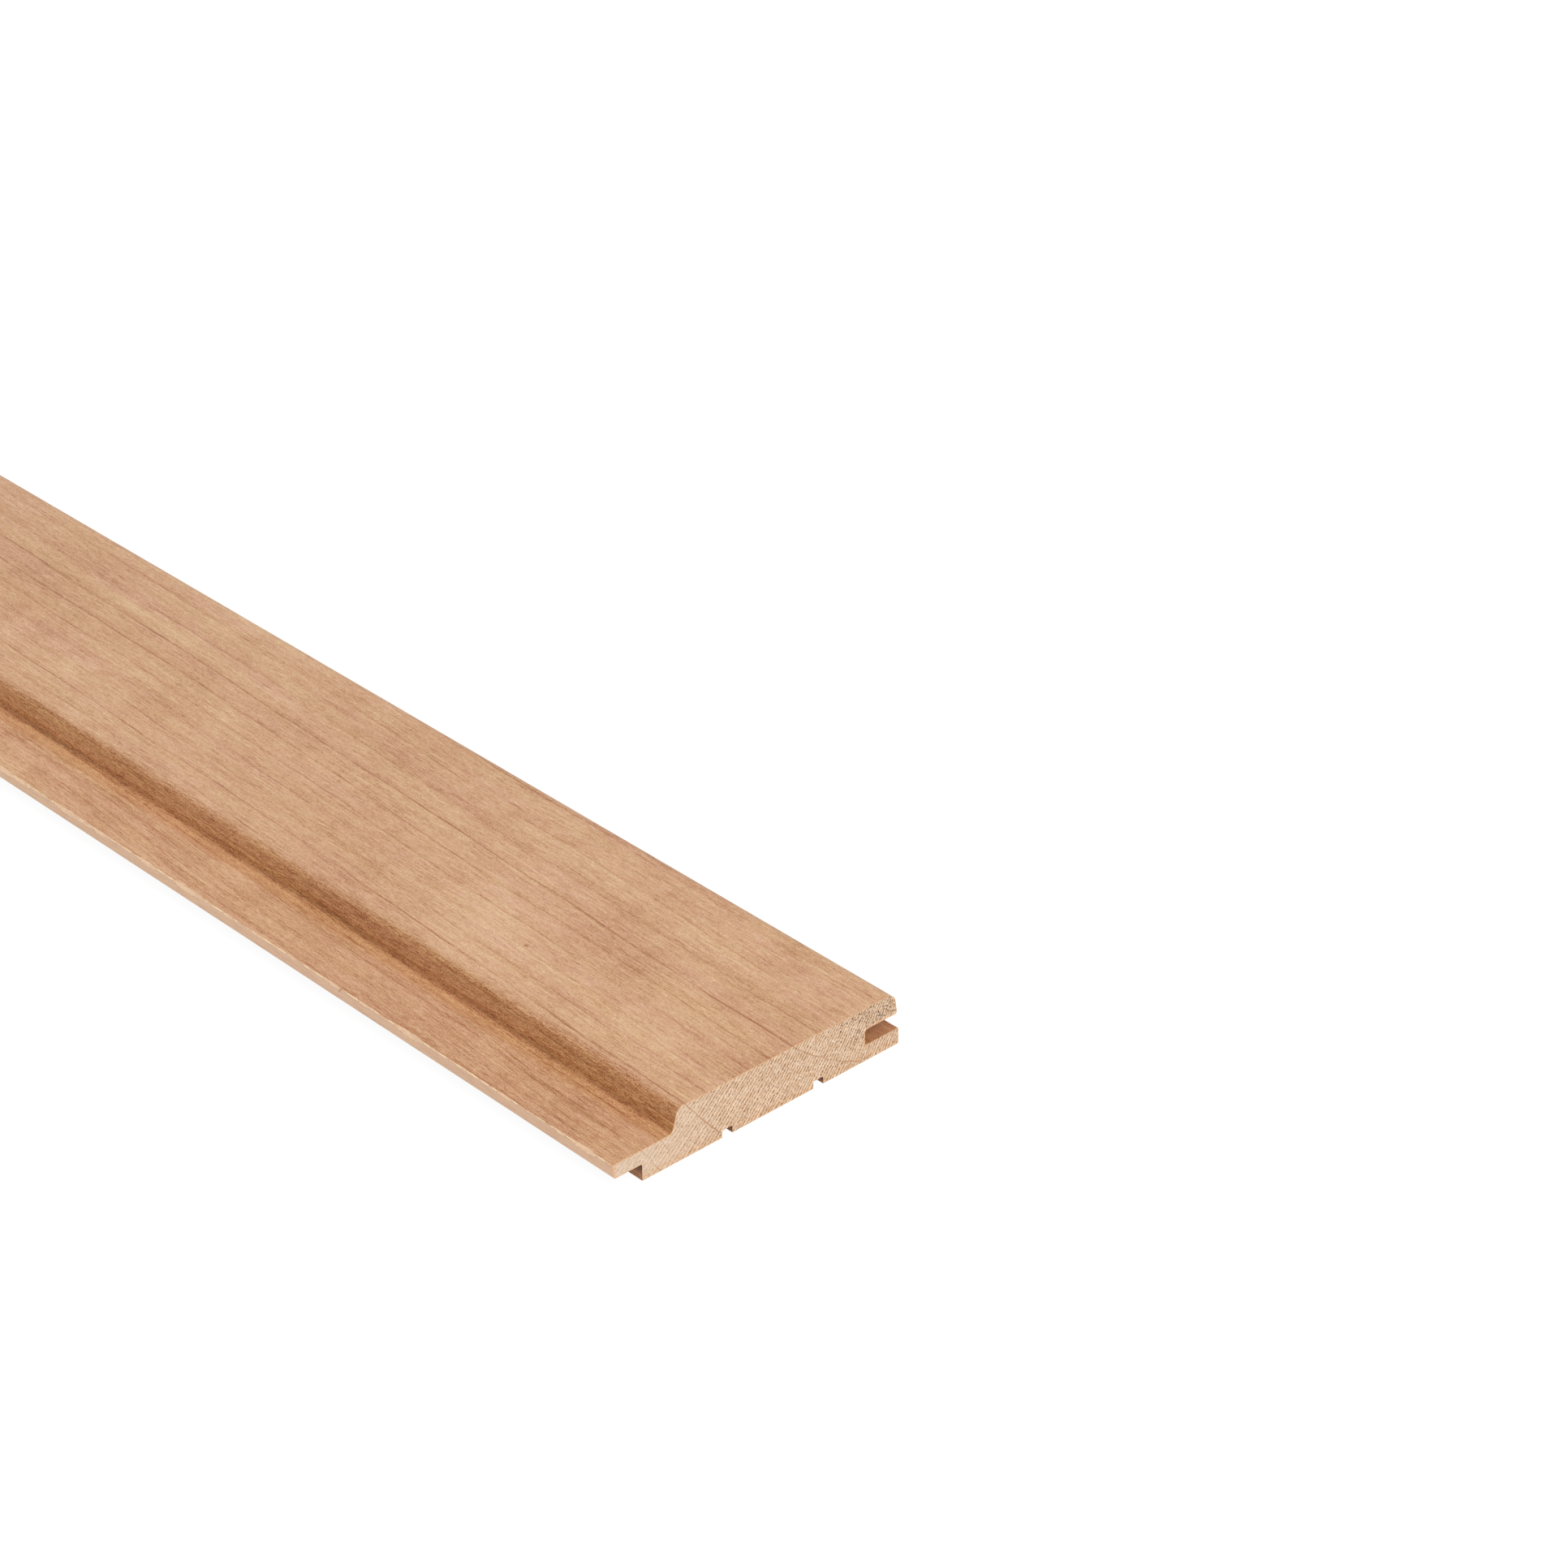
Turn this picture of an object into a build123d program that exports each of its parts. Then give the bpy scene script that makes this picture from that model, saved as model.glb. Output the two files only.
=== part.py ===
from build123d import *

import os
from math import radians, tan

# Sauna panelling board: one length of alder, planed and moulded to a tongue-and-groove section.
# +X runs across the board from the tongue to the groove, +Y along its length, +Z up out of its face.
# The origin is the middle of the back, half way along. Sizes are in millimetres and degrees.

# The planed blank
overall_width = 90.0
thickness = 15.0
length = 1800.0

# Tongue and groove. The tongue enters the next board's groove with the same clearance above and
# below, and the shoulder under it stops against that board's lower lip.
tongue_reach = 9.0
tongue_thickness = 4.0
lower_lip_thickness = 4.5
joint_clearance = 0.15
tongue_end_gap = 2.0

# Upper lip: stands back from the lower one, with a sloped nose
lip_setback = 0.5
nose_slope = 8.0

# Step from the low face up to the full face. With the next board in place, the shadow gap is the
# width of low face that stays open between its step and the upper lip.
shadow_gap = 9.7
step_slope = 16.0

# Relief kerfs that let the back take up movement without cupping
kerf_width = 3.2
kerf_depth = 2.0
kerf_pitch = 28.8
kerf_count = 2

# Roundings left by the cutters
lip_round = 3.0
nose_corner_round = 0.6
step_round = 2.0
step_cove = 1.5
shoulder_round = 0.5
groove_corner_round = 0.9
lower_lip_round = 0.4
tongue_tip_round = 0.5
kerf_corner_round = 0.4

# Heights above the back
groove_height = tongue_thickness + 2 * joint_clearance
groove_roof = lower_lip_thickness + groove_height
tongue_underside = lower_lip_thickness + joint_clearance
low_face = tongue_underside + tongue_thickness

# Distances from the tongue's tip
cover_width = overall_width - tongue_reach
groove_depth = tongue_reach + tongue_end_gap
groove_bottom = overall_width - groove_depth
nose_foot = overall_width - lip_setback
nose_head = nose_foot - (thickness - groove_roof) * tan(radians(nose_slope))
step_foot = nose_foot - cover_width + shadow_gap
step_head = step_foot + (thickness - low_face) * tan(radians(step_slope))
tongue_tip_foot = tongue_thickness * tan(radians(nose_slope))
back_middle = (tongue_reach + overall_width) / 2

# The section stands on the back, drawn from the tongue's tip
section_plane = Plane(origin=(-overall_width / 2, 0, 0), x_dir=(1, 0, 0), z_dir=(0, -1, 0))

with BuildPart() as panelling_board:
    with BuildSketch(section_plane) as section:
        Rectangle(overall_width, thickness, align=(Align.MIN, Align.MIN))

        # Face rebate: lowers the face over the tongue, as far as the step
        with BuildLine():
            Polyline(
                (0, low_face),
                (step_foot, low_face),
                (step_head, thickness),
                (0, thickness),
                close=True,
            )
        make_face(mode=Mode.SUBTRACT)

        # Back rebate: takes the next board's lower lip, under a tongue whose tip slopes back
        with BuildLine():
            Polyline(
                (0, 0),
                (tongue_reach, 0),
                (tongue_reach, tongue_underside),
                (tongue_tip_foot, tongue_underside),
                (0, low_face),
                close=True,
            )
        make_face(mode=Mode.SUBTRACT)

        # Groove between the two lips
        with Locations((overall_width, lower_lip_thickness)):
            Rectangle(
                groove_depth,
                groove_height,
                align=(Align.MAX, Align.MIN),
                mode=Mode.SUBTRACT,
            )

        # Nose of the upper lip
        with BuildLine():
            Polyline(
                (nose_foot, groove_roof),
                (overall_width, groove_roof),
                (overall_width, thickness),
                (nose_head, thickness),
                close=True,
            )
        make_face(mode=Mode.SUBTRACT)

        # Relief kerfs, spread about the middle of the back
        with Locations((back_middle, 0)):
            with GridLocations(kerf_pitch, 0, kerf_count, 1):
                Rectangle(kerf_width, 2 * kerf_depth, mode=Mode.SUBTRACT)

        # Each rounded corner is the one nearest to its place in the sharp outline
        rounded_corners = [
            (nose_head, thickness, lip_round),
            (nose_foot, groove_roof, nose_corner_round),
            (step_head, thickness, step_round),
            (step_foot, low_face, step_cove),
            (tongue_reach, tongue_underside, shoulder_round),
            (groove_bottom, groove_roof, groove_corner_round),
            (overall_width, lower_lip_thickness, lower_lip_round),
            (tongue_tip_foot, tongue_underside, tongue_tip_round),
        ]
        for across, up, radius in rounded_corners:
            corner = section.vertices().sort_by_distance((across, up))[0]
            fillet(corner, radius)

        # The kerfs' upper corners are the only ones left at their depth
        kerf_corners = [v for v in section.vertices() if abs(v.Y - kerf_depth) < 0.001]
        fillet(kerf_corners, kerf_corner_round)

    extrude(amount=length / 2, both=True)

panelling_board.part.label = "panelling_board"

os.makedirs("parts", exist_ok=True)
export_step(panelling_board.part, "parts/panelling_board.step")
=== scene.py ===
"""Sauna panelling board: one length of planed alder, moulded to a tongue-and-groove section.

The board lies on its back on a pale floor. Its long faces are planed, its two ends are sawn, and the
cutters have left small chips along the tongue and loose fibres along the arrises. Lengths are in
metres. In the growth rings and the finishes they are in millimetres, apart from the bumps' heights.
"""

import logging
import math
import random
from collections.abc import Callable
from dataclasses import dataclass, field
from enum import Enum

import bmesh
import bpy
from mathutils import Matrix, Vector, kdtree, noise


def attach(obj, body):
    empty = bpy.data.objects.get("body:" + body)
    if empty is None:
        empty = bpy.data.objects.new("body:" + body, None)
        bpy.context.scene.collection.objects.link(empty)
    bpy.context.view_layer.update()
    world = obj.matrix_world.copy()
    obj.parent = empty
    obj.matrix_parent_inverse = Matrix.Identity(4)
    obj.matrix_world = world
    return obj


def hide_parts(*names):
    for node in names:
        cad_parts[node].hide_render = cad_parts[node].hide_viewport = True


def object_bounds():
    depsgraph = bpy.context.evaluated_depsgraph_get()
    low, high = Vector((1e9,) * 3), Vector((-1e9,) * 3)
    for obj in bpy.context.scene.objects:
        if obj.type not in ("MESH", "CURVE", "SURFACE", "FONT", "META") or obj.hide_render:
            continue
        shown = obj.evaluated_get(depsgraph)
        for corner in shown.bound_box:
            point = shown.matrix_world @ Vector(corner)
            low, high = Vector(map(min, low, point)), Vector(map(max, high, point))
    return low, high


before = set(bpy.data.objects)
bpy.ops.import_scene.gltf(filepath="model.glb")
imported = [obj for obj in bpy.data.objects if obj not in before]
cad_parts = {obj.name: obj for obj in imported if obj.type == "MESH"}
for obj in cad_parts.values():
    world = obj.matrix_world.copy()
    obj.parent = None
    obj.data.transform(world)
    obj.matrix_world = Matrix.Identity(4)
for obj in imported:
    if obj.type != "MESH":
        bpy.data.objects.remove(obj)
cad_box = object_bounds()

log = logging.getLogger("panelling_board")
MM = 0.001

Point = tuple[float, float]
Triple = tuple[float, float, float]
Colour = Triple
Box = tuple[float, float, float, float]
Socket = bpy.types.NodeSocket


class Finish(Enum):
    """The board's finishes, in the order of its material slots."""

    PLANED = 0
    SAWN = 1
    FIBRE = 2


class Part(Enum):
    """What can be picked on the bench, by the name that a mesh keeps it under."""

    FACE = "faces"
    EDGE = "edges"


def select(pieces: list[bpy.types.Object], active: bpy.types.Object) -> None:
    """Selects some objects, and nothing else.

    Args:
        pieces: the objects.
        active: the one of them that is worked on.
    """
    bpy.ops.object.select_all(action="DESELECT")
    for piece in pieces:
        piece.select_set(True)
    bpy.context.view_layer.objects.active = active


def looks_along(face: bmesh.types.BMFace) -> bool:
    """Whether a face looks along the board, as those of its two ends do."""
    return abs(face.normal.y) > 0.5


def points_of(mesh: bpy.types.Mesh, finish: Finish) -> set[int]:
    """The numbers of the points that a finish's faces meet at."""
    return {point for face in mesh.polygons if face.material_index == finish.value for point in face.vertices}


@dataclass(frozen=True)
class Section:
    """The moulded section. Places are measured across from the tongue's tip and up from the back."""

    width: float = 90.0 * MM
    thickness: float = 15.0 * MM
    length: float = 1800.0 * MM
    tongue_reach: float = 9.0 * MM
    tongue_thickness: float = 4.0 * MM
    lower_lip_thickness: float = 4.5 * MM
    joint_clearance: float = 0.15 * MM
    tongue_end_gap: float = 2.0 * MM
    lip_setback: float = 0.5 * MM
    nose_slope: float = math.radians(8.0)
    shadow_gap: float = 9.7 * MM
    step_slope: float = math.radians(16.0)
    kerf_width: float = 3.2 * MM
    kerf_depth: float = 2.0 * MM
    kerf_pitch: float = 28.8 * MM
    lip_round: float = 3.0 * MM
    nose_corner_round: float = 0.6 * MM
    step_round: float = 2.0 * MM
    step_cove: float = 1.5 * MM
    shoulder_round: float = 0.5 * MM
    groove_corner_round: float = 0.9 * MM
    lower_lip_round: float = 0.4 * MM
    tongue_tip_round: float = 0.5 * MM
    kerf_corner_round: float = 0.4 * MM

    @property
    def groove_roof(self) -> float:
        """Height of the groove's roof above the back."""
        return self.lower_lip_thickness + self.tongue_thickness + 2 * self.joint_clearance

    @property
    def tongue_underside(self) -> float:
        """Height of the tongue's underside above the back."""
        return self.lower_lip_thickness + self.joint_clearance

    @property
    def low_face(self) -> float:
        """Height of the low face above the back."""
        return self.tongue_underside + self.tongue_thickness

    @property
    def groove_bottom(self) -> float:
        """Place of the groove's bottom across the board."""
        return self.width - self.tongue_reach - self.tongue_end_gap

    @property
    def nose_foot(self) -> float:
        """Place of the upper lip's lower corner across the board."""
        return self.width - self.lip_setback

    @property
    def nose_head(self) -> float:
        """Place of the upper lip's upper corner across the board, before it is rounded."""
        return self.nose_foot - (self.thickness - self.groove_roof) * math.tan(self.nose_slope)

    @property
    def step_foot(self) -> float:
        """Place of the step's foot across the board."""
        return self.nose_foot - (self.width - self.tongue_reach) + self.shadow_gap

    @property
    def step_head(self) -> float:
        """Place of the step's head across the board, before it is rounded."""
        return self.step_foot + (self.thickness - self.low_face) * math.tan(self.step_slope)

    @property
    def tongue_tip_foot(self) -> float:
        """Place of the lower corner of the tongue's tip across the board."""
        return self.tongue_thickness * math.tan(self.nose_slope)

    @property
    def kerf_walls(self) -> list[Point]:
        """Left and right wall of each relief kerf."""
        middle = (self.tongue_reach + self.width) / 2
        centres = (middle - self.kerf_pitch / 2, middle + self.kerf_pitch / 2)
        return [(c - self.kerf_width / 2, c + self.kerf_width / 2) for c in centres]

    @property
    def waste(self) -> list[Box]:
        """What the cutters take out of the blank, each as left, right, bottom and top."""
        rebates = [
            (0.0, self.step_foot, self.low_face, self.thickness),
            (0.0, self.tongue_reach, 0.0, self.tongue_underside),
            (self.groove_bottom, self.width, self.lower_lip_thickness, self.groove_roof),
            (self.nose_foot, self.width, self.groove_roof, self.thickness),
        ]
        return rebates + [(left, right, 0.0, self.kerf_depth) for left, right in self.kerf_walls]

    @property
    def leans(self) -> list[tuple[Point, float]]:
        """Square corners that a slope moves sideways, with how far."""
        return [
            ((self.step_foot, self.thickness), self.step_head - self.step_foot),
            ((self.nose_foot, self.thickness), self.nose_head - self.nose_foot),
            ((0.0, self.tongue_underside), self.tongue_tip_foot),
        ]

    @property
    def roundings(self) -> list[tuple[Point, float]]:
        """Each rounded corner's place before it is rounded, with its radius."""
        kerf_corners = [
            ((wall, self.kerf_depth), self.kerf_corner_round) for walls in self.kerf_walls for wall in walls
        ]
        return kerf_corners + [
            ((self.nose_head, self.thickness), self.lip_round),
            ((self.nose_foot, self.groove_roof), self.nose_corner_round),
            ((self.step_head, self.thickness), self.step_round),
            ((self.step_foot, self.low_face), self.step_cove),
            ((self.tongue_reach, self.tongue_underside), self.shoulder_round),
            ((self.groove_bottom, self.groove_roof), self.groove_corner_round),
            ((self.width, self.lower_lip_thickness), self.lower_lip_round),
            ((self.tongue_tip_foot, self.tongue_underside), self.tongue_tip_round),
        ]

    def place(self, across: float, up: float, along: float = 0.0) -> Vector:
        """A place of the section as a point of the board.

        Args:
            across: distance from the tongue's tip.
            up: height above the back.
            along: distance along the board from its middle.

        Returns:
            The point in the board's frame.
        """
        return Vector((across - self.width / 2, along, up))


class Bench:
    """A piece on the bench in edit mode, where parts of it are picked by their place and then worked."""

    def __init__(self, piece: bpy.types.Object) -> None:
        """Puts the piece in edit mode.

        Args:
            piece: the mesh object to work on.
        """
        select([piece], piece)
        self.piece = piece
        bpy.ops.object.mode_set(mode="EDIT")
        bpy.ops.mesh.select_all(action="DESELECT")

    @property
    def mesh(self) -> bmesh.types.BMesh:
        """The piece's mesh as it is being edited."""
        return bmesh.from_edit_mesh(self.piece.data)

    def done(self) -> bpy.types.Object:
        """Takes the piece off the bench and returns it."""
        bpy.ops.object.mode_set(mode="OBJECT")
        return self.piece

    def pick_corner(self, place: Vector) -> float:
        """Selects the corner nearest to a place, and nothing else.

        Args:
            place: a point in the board's frame.

        Returns:
            The angle between the two edges that meet at the corner.
        """
        bpy.ops.mesh.select_mode(type="VERT")
        bpy.ops.mesh.select_all(action="DESELECT")
        mesh = self.mesh
        corner = min(mesh.verts, key=lambda v: (v.co - place).length_squared)
        corner.select_set(True)
        arms = [edge.other_vert(corner).co - corner.co for edge in corner.link_edges]
        angle = arms[0].angle(arms[1])
        bmesh.update_edit_mesh(self.piece.data)
        return angle

    def pick(self, part: Part, wanted: Callable[..., bool]) -> None:
        """Selects the faces or the edges that pass a test, and nothing else.

        Args:
            part: which of the two.
            wanted: the test.
        """
        bpy.ops.mesh.select_mode(type=part.name)
        bpy.ops.mesh.select_all(action="DESELECT")
        mesh = self.mesh
        found = [element for element in getattr(mesh, part.value) if wanted(element)]
        for element in found:
            element.select_set(True)
        bmesh.update_edit_mesh(self.piece.data)

    def cut_across(self, place: Vector, normal: Triple) -> None:
        """Bisects all that isn't hidden by a plane.

        Args:
            place: a point of the plane.
            normal: the plane's normal.
        """
        bpy.ops.mesh.select_all(action="SELECT")
        bpy.ops.mesh.bisect(plane_co=place, plane_no=normal)


@dataclass(frozen=True)
class BakeMap:
    """The board's own UV map for baked colour: its long faces side by side, each end, then the fibres.

    The long faces are given more room across the grain than along it, as the grain needs it.
    """

    name: str = "OFBake"
    sides_top: float = 0.75
    near_foot: float = 0.77
    far_foot: float = 0.88
    end_height: float = 0.10
    fibre_foot: float = 0.985
    fibre_reach: float = 0.4
    margin: float = 0.004

    def lay(self, piece: bpy.types.Object, section: Section) -> None:
        """Lays the map on the drawn-out board, before its faces are cut any finer.

        Args:
            piece: the board, in edit mode, with one face for each edge of its section and two ends.
            section: its section.
        """
        mesh = bmesh.from_edit_mesh(piece.data)
        layer = mesh.loops.layers.uv.new(self.name)
        ends = {face for face in mesh.faces if looks_along(face)}
        near = min(ends, key=lambda face: face.calc_center_median().y)
        outline = [(vert.co.x, vert.co.z) for vert in near.verts]
        arcs = [0.0]
        for first, second in zip(outline, outline[1:] + outline[:1]):
            arcs.append(arcs[-1] + math.dist(first, second))
        keys = {self.key(point): number for number, point in enumerate(outline)}
        for face in mesh.faces:
            if face in ends:
                foot = self.near_foot if face is near else self.far_foot
                for loop in face.loops:
                    across = (loop.vert.co.x + section.width / 2) / section.width
                    up = loop.vert.co.z / section.thickness
                    loop[layer].uv = (self.inset(across), foot + up * self.end_height)
                continue
            numbers = [keys[self.key((loop.vert.co.x, loop.vert.co.z))] for loop in face.loops]
            closes = {0, len(outline) - 1} == set(numbers)
            for loop, number in zip(face.loops, numbers):
                arc = arcs[-1] if closes and number == 0 else arcs[number]
                along = (loop.vert.co.y + section.length / 2) / section.length
                loop[layer].uv = (self.inset(along), self.inset(arc / arcs[-1]) * self.sides_top)
        bmesh.update_edit_mesh(piece.data)

    def lay_fibre(self, piece: bpy.types.Object) -> None:
        """Gives every face of the unit fibre the same small patch of the map.

        Args:
            piece: the unit fibre, in object mode.
        """
        layer = piece.data.uv_layers.new(name=self.name)
        for face in piece.data.polygons:
            for step, loop in enumerate(face.loop_indices):
                turn = 2 * math.pi * step / face.loop_total
                patch = (1 - self.fibre_foot) / 2 - self.margin / 2
                up = self.fibre_foot + (1 - self.fibre_foot) / 2 + patch * math.sin(turn)
                layer.data[loop].uv = (0.5 + self.fibre_reach * math.cos(turn), up)

    def inset(self, share: float) -> float:
        """A share of the map's side, kept off its edges."""
        return self.margin + share * (1 - 2 * self.margin)

    def key(self, point: Point) -> tuple[int, int]:
        """A corner of the section as whole hundredths of a millimetre, to find it by."""
        return round(point[0] / MM * 100), round(point[1] / MM * 100)


@dataclass
class MouldedBlank:
    """The board's body: the section, cut out of the blank's end and drawn out to its length."""

    section: Section
    arc_segments: int = 8
    row_pitch: float = 12.0 * MM

    def build(self) -> bpy.types.Object:
        """Models the board without its wear.

        Returns:
            The board, closed, with a square cut at each end.
        """
        bench = Bench(self.blank_end())
        self.mould(bench)
        self.lean(bench)
        self.round_corners(bench)
        self.draw_out(bench)
        return bench.done()

    def blank_end(self) -> bpy.types.Object:
        """The blank's near end as one upright face, which looks along -Y.

        Returns:
            The end face.
        """
        s = self.section
        bpy.ops.object.select_all(action="DESELECT")
        middle = s.place(s.width / 2, s.thickness / 2, -s.length / 2)
        bpy.ops.mesh.primitive_plane_add(
            size=1.0, calc_uvs=False, location=middle, rotation=(math.pi / 2, 0.0, 0.0)
        )
        piece = bpy.context.object
        piece.name = piece.data.name = "alder_board"
        piece.scale = (s.width, s.thickness, 1.0)
        bpy.ops.object.transform_apply(location=True, rotation=True, scale=True)
        return piece

    def mould(self, bench: Bench) -> None:
        """Cuts the rebates, the groove and the kerfs out of the end face.

        Args:
            bench: the bench with the blank's end.
        """
        s = self.section
        for across in sorted({edge for left, right, _, _ in s.waste for edge in (left, right)}):
            if 0.0 < across < s.width:
                bench.cut_across(s.place(across, 0.0), (1, 0, 0))
        for up in sorted({edge for _, _, low, high in s.waste for edge in (low, high)}):
            if 0.0 < up < s.thickness:
                bench.cut_across(s.place(0.0, up), (0, 0, 1))

        def is_waste(face: bmesh.types.BMFace) -> bool:
            """Whether a face lies in what the cutters take out.

            Args:
                face: the face.

            Returns:
                Whether it does.
            """
            middle = face.calc_center_median()
            across, up = middle.x + s.width / 2, middle.z
            return any(left < across < right and low < up < high for left, right, low, high in s.waste)

        bench.pick(Part.FACE, is_waste)
        bpy.ops.mesh.delete(type="FACE")
        bpy.ops.mesh.select_all(action="SELECT")
        bpy.ops.mesh.dissolve_limited(angle_limit=math.radians(0.5))

    def lean(self, bench: Bench) -> None:
        """Leans the nose, the step and the tongue's tip.

        Args:
            bench: the bench with the moulded end face.
        """
        s = self.section
        for (across, up), shift in s.leans:
            bench.pick_corner(s.place(across, up, -s.length / 2))
            bpy.ops.transform.translate(value=(shift, 0.0, 0.0))

    def round_corners(self, bench: Bench) -> None:
        """Rounds the section's corners, each to its own radius.

        Args:
            bench: the bench with the moulded end face.
        """
        s = self.section
        for (across, up), radius in s.roundings:
            angle = bench.pick_corner(s.place(across, up, -s.length / 2))
            setback = radius / math.tan(angle / 2)
            bpy.ops.mesh.bevel(
                offset_type="ABSOLUTE",
                offset=setback,
                segments=self.arc_segments,
                affect="VERTICES",
                profile=0.5,
            )

    def draw_out(self, bench: Bench) -> None:
        """Extrudes the end face to the board's length and cuts the long faces into rows.

        Args:
            bench: the bench with the finished section.
        """
        s = self.section
        bpy.ops.mesh.select_mode(type="FACE")
        bpy.ops.mesh.select_all(action="SELECT")
        bpy.ops.mesh.extrude_region_move(TRANSFORM_OT_translate={"value": (0.0, s.length, 0.0)})
        bpy.ops.mesh.select_all(action="SELECT")
        bpy.ops.mesh.normals_make_consistent(inside=False)
        BakeMap().lay(bench.piece, s)
        rows = round(s.length / self.row_pitch)
        for row in range(1, rows):
            bench.cut_across(s.place(0.0, 0.0, -s.length / 2 + row * self.row_pitch), (0, 1, 0))
        bpy.ops.mesh.select_all(action="SELECT")
        bpy.ops.mesh.normals_make_consistent(inside=False)


@dataclass(frozen=True)
class GrowthRings:
    """The tree that the board was sawn from: where its pith ran and how wide its rings are, in millimetres.

    The pith lies above the groove side, so that the rings cross the section at about 45 degrees and
    the rays run up to the right. Their lines run out slowly across the face. The year of the first ring
    settles how dark each ring's line is.
    """

    pith_across: float = 65.0
    pith_up: float = 72.0
    ring_width: float = 5.05
    first_ring: float = 79.0
    first_year: int = 1834
    runout_reach: float = 18.0
    runout_length: float = 500.0
    near_end: float = -900.0
    ray_pitch: float = 0.98
    ray_point: Point = (103.0, 120.0)
    ray_reach: float = 150.0

    def along_rays(self, across: float, up: float) -> Point:
        """Distance along the rays, which fan out from their own point, and distance from ray to ray.

        Args:
            across: place across the board in the board's frame.
            up: height above the back.

        Returns:
            The two distances.
        """
        dx, dz = across - self.ray_point[0], up - self.ray_point[1]
        return math.hypot(dx, dz), math.atan2(dx, -dz) * self.ray_reach


@dataclass
class SawnEnds:
    """The sawn ends: torn pores in rows along the rays, a rough upper lip and a slightly ragged rim."""

    section: Section
    rings: GrowthRings
    cell: float = 0.3 * MM
    depth_name: str = "tear_depth"
    rim_name: str = "rim_distance"
    saw_depth: float = 0.05 * MM
    pit_depth: float = 0.2 * MM
    sweep_depth: float = 0.06 * MM
    rim_calm: float = 0.5 * MM
    kept_back: float = 0.03 * MM

    def is_end(self, face: bmesh.types.BMFace) -> bool:
        """Whether a face belongs to a sawn end."""
        return looks_along(face) and abs(face.calc_center_median().y) > self.section.length / 2 - MM

    def grid(self, piece: bpy.types.Object) -> None:
        """Cuts both end faces into small cells and gives them the sawn finish.

        Args:
            piece: the moulded board.
        """
        s = self.section
        bench = Bench(piece)
        bench.pick(Part.FACE, self.is_end)
        bpy.ops.mesh.hide(unselected=True)
        for column in range(1, round(s.width / self.cell)):
            bench.cut_across(s.place(column * self.cell, 0.0), (1, 0, 0))
        for row in range(1, round(s.thickness / self.cell)):
            bench.cut_across(s.place(0.0, row * self.cell), (0, 0, 1))
        bpy.ops.mesh.select_all(action="SELECT")
        bench.piece.active_material_index = Finish.SAWN.value
        bpy.ops.object.material_slot_assign()
        bpy.ops.mesh.reveal(select=False)
        bench.done()

    def roughness(self, across: float, up: float) -> float:
        """How torn the end is at a place: smooth at the tongue, coarse in the upper lip.

        Args:
            across: distance from the tongue's tip, in metres.
            up: height above the back, in metres.

        Returns:
            A share of the full depth.
        """
        s = self.section
        swell = min(1.0, max(0.0, across / s.width * 1.5 - 0.1))
        lip = max(0.0, 1 - math.hypot(across - s.width * 0.93, (up - s.thickness * 0.8) * 1.6) / (14 * MM))
        return 0.2 + 0.45 * swell + 0.9 * lip

    def relief(self, across: float, up: float, seed: float) -> float:
        """Depth of the sawn surface below its highest fibres.

        Args:
            across: distance from the tongue's tip, in metres.
            up: height above the back, in metres.
            seed: shifts the pattern, so that the two ends differ.

        Returns:
            The depth, in metres.
        """
        radius, arc = self.rings.along_rays((across - self.section.width / 2) / MM, up / MM)
        rows = 0.5 - 0.5 * math.cos(2 * math.pi * arc / self.rings.ray_pitch)
        cells = noise.voronoi(Vector((radius / 0.75, arc / 0.55, seed)))[0]
        pit = max(0.0, 1 - cells[0] / 0.55) ** 1.5
        crumb = 0.5 + 0.5 * noise.noise(Vector((radius / 0.5, arc / 0.4, seed + 9)))
        sweep = 0.5 + 0.5 * noise.noise(Vector((radius / 9, arc / 5, seed + 4)))
        rough = self.roughness(across, up)
        return (
            self.saw_depth * rows * (0.4 + rough)
            + self.pit_depth * pit * rough * (0.5 + 0.8 * rows)
            + self.saw_depth * crumb * rough
            + self.sweep_depth * sweep
        )

    def carve(self, piece: bpy.types.Object) -> None:
        """Sinks the end faces' points to the sawn surface and records how deep and how near the rim they are.

        Args:
            piece: the board, with its end faces cut into cells.
        """
        s = self.section
        mesh = piece.data
        depths = mesh.attributes.new(self.depth_name, "FLOAT", "POINT").data
        rims = mesh.attributes.new(self.rim_name, "FLOAT", "POINT").data
        sawn = points_of(mesh, Finish.SAWN)
        rim = sawn & points_of(mesh, Finish.PLANED)
        tree = kdtree.KDTree(len(rim))
        for number in rim:
            tree.insert(mesh.vertices[number].co, number)
        tree.balance()
        deepest = self.saw_depth + self.pit_depth + self.sweep_depth
        for number in sawn:
            point = mesh.vertices[number]
            side = math.copysign(1.0, point.co.y)
            away = 0.0 if number in rim else tree.find(point.co)[2]
            depth = self.relief(point.co.x + s.width / 2, point.co.z, 3.0 + side)
            calm = 0.35 + 0.65 * min(1.0, away / self.rim_calm)
            depths[number].value = min(1.0, depth * calm / deepest)
            rims[number].value = away / MM
            point.co.y -= side * (self.kept_back + depth * calm)


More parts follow.
